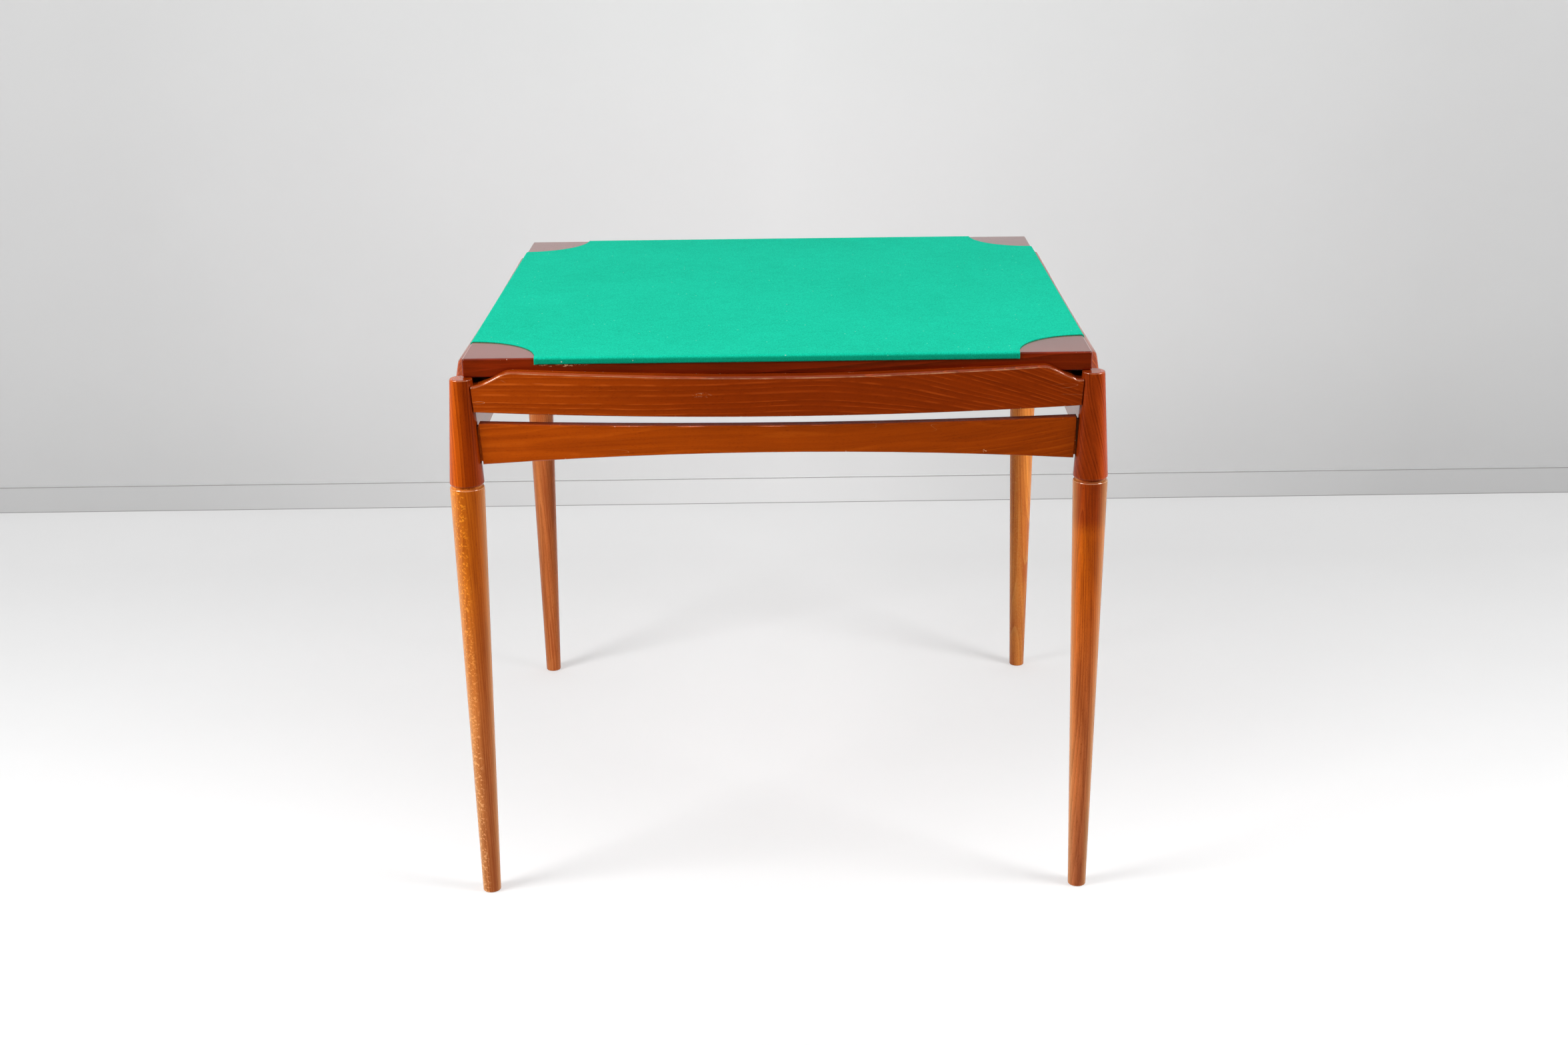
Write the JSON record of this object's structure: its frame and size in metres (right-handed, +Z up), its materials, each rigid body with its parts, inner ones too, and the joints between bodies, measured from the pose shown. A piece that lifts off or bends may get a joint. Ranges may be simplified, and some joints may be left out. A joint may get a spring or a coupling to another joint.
{
  "type": "games table",
  "caption": "Square card table: loose baize-covered board with bare wooden corners, fenced by shaped upper rails, with arched lower rails and round tapered legs that unscrew.",
  "frame": {"origin": "on the floor under the table's centre", "axes": "+Z up, -Y towards the front, +X to the right seen from the front"},
  "size_m": [0.8734, 0.8734, 0.7715],
  "materials": {
    "baize": "napped, matt",
    "board_wood": "gloss lacquer",
    "core_board": "bare",
    "rail_wood": "gloss lacquer",
    "head_wood": "gloss lacquer",
    "leg_wood": "gloss lacquer",
    "block_wood": "dark stain, dull",
    "steel": "machined",
    "brass": "machined"
  },
  "bodies": {
    "frame": {"upper_rail_front": "rail_wood", "upper_rail_back": "rail_wood", "upper_rail_left": "rail_wood", "upper_rail_right": "rail_wood", "lower_rail_front": "rail_wood", "lower_rail_back": "rail_wood", "lower_rail_left": "rail_wood", "lower_rail_right": "rail_wood", "leg_head_front_left": "head_wood", "leg_head_front_right": "head_wood", "leg_head_back_left": "head_wood", "leg_head_back_right": "head_wood", "leg_insert_front_left": "brass", "leg_insert_front_right": "brass", "leg_insert_back_left": "brass", "leg_insert_back_right": "brass", "corner_block_front_left": "block_wood", "corner_block_front_right": "block_wood", "corner_block_back_left": "block_wood", "corner_block_back_right": "block_wood"},
    "board": {"board_core": "core_board", "veneer_playing_side": "board_wood", "veneer_reverse_side": "board_wood", "lipping_front": "board_wood", "lipping_back": "board_wood", "lipping_left": "board_wood", "lipping_right": "board_wood", "playing_cloth": "baize"},
    "stud_front_left": {"leg_stud_front_left": "steel"},
    "lower_leg_front_left": {"leg_front_left": "leg_wood"},
    "stud_front_right": {"leg_stud_front_right": "steel"},
    "lower_leg_front_right": {"leg_front_right": "leg_wood"},
    "stud_back_left": {"leg_stud_back_left": "steel"},
    "lower_leg_back_left": {"leg_back_left": "leg_wood"},
    "stud_back_right": {"leg_stud_back_right": "steel"},
    "lower_leg_back_right": {"leg_back_right": "leg_wood"}
  },
  "joints": [
    {"name": "board_lift", "type": "slide", "parent": "frame", "child": "board", "axis": [0, 0, 1], "range_m": [0, 0.06]},
    {"name": "leg_drop_front_left", "type": "slide", "parent": "frame", "child": "stud_front_left", "axis": [0, 0, -1], "range_m": [0, 0.024]},
    {"name": "leg_turn_front_left", "type": "hinge", "parent": "stud_front_left", "child": "lower_leg_front_left", "pos_m": [-0.4135, -0.4135, 0.5555], "axis": [0, 0, -1], "range_deg": [0, 5760]},
    {"name": "leg_drop_front_right", "type": "slide", "parent": "frame", "child": "stud_front_right", "axis": [0, 0, -1], "range_m": [0, 0.024]},
    {"name": "leg_turn_front_right", "type": "hinge", "parent": "stud_front_right", "child": "lower_leg_front_right", "pos_m": [0.4135, -0.4135, 0.5555], "axis": [0, 0, -1], "range_deg": [0, 5760]},
    {"name": "leg_drop_back_left", "type": "slide", "parent": "frame", "child": "stud_back_left", "axis": [0, 0, -1], "range_m": [0, 0.024]},
    {"name": "leg_turn_back_left", "type": "hinge", "parent": "stud_back_left", "child": "lower_leg_back_left", "pos_m": [-0.4135, 0.4135, 0.5555], "axis": [0, 0, -1], "range_deg": [0, 5760]},
    {"name": "leg_drop_back_right", "type": "slide", "parent": "frame", "child": "stud_back_right", "axis": [0, 0, -1], "range_m": [0, 0.024]},
    {"name": "leg_turn_back_right", "type": "hinge", "parent": "stud_back_right", "child": "lower_leg_back_right", "pos_m": [0.4135, 0.4135, 0.5555], "axis": [0, 0, -1], "range_deg": [0, 5760]}
  ],
  "couplings": [
    {"joint": "leg_drop_front_left", "follows": "leg_turn_front_left", "m_per_rad": 0.00023873},
    {"joint": "leg_drop_front_right", "follows": "leg_turn_front_right", "m_per_rad": 0.00023873},
    {"joint": "leg_drop_back_left", "follows": "leg_turn_back_left", "m_per_rad": 0.00023873},
    {"joint": "leg_drop_back_right", "follows": "leg_turn_back_right", "m_per_rad": 0.00023873}
  ]
}
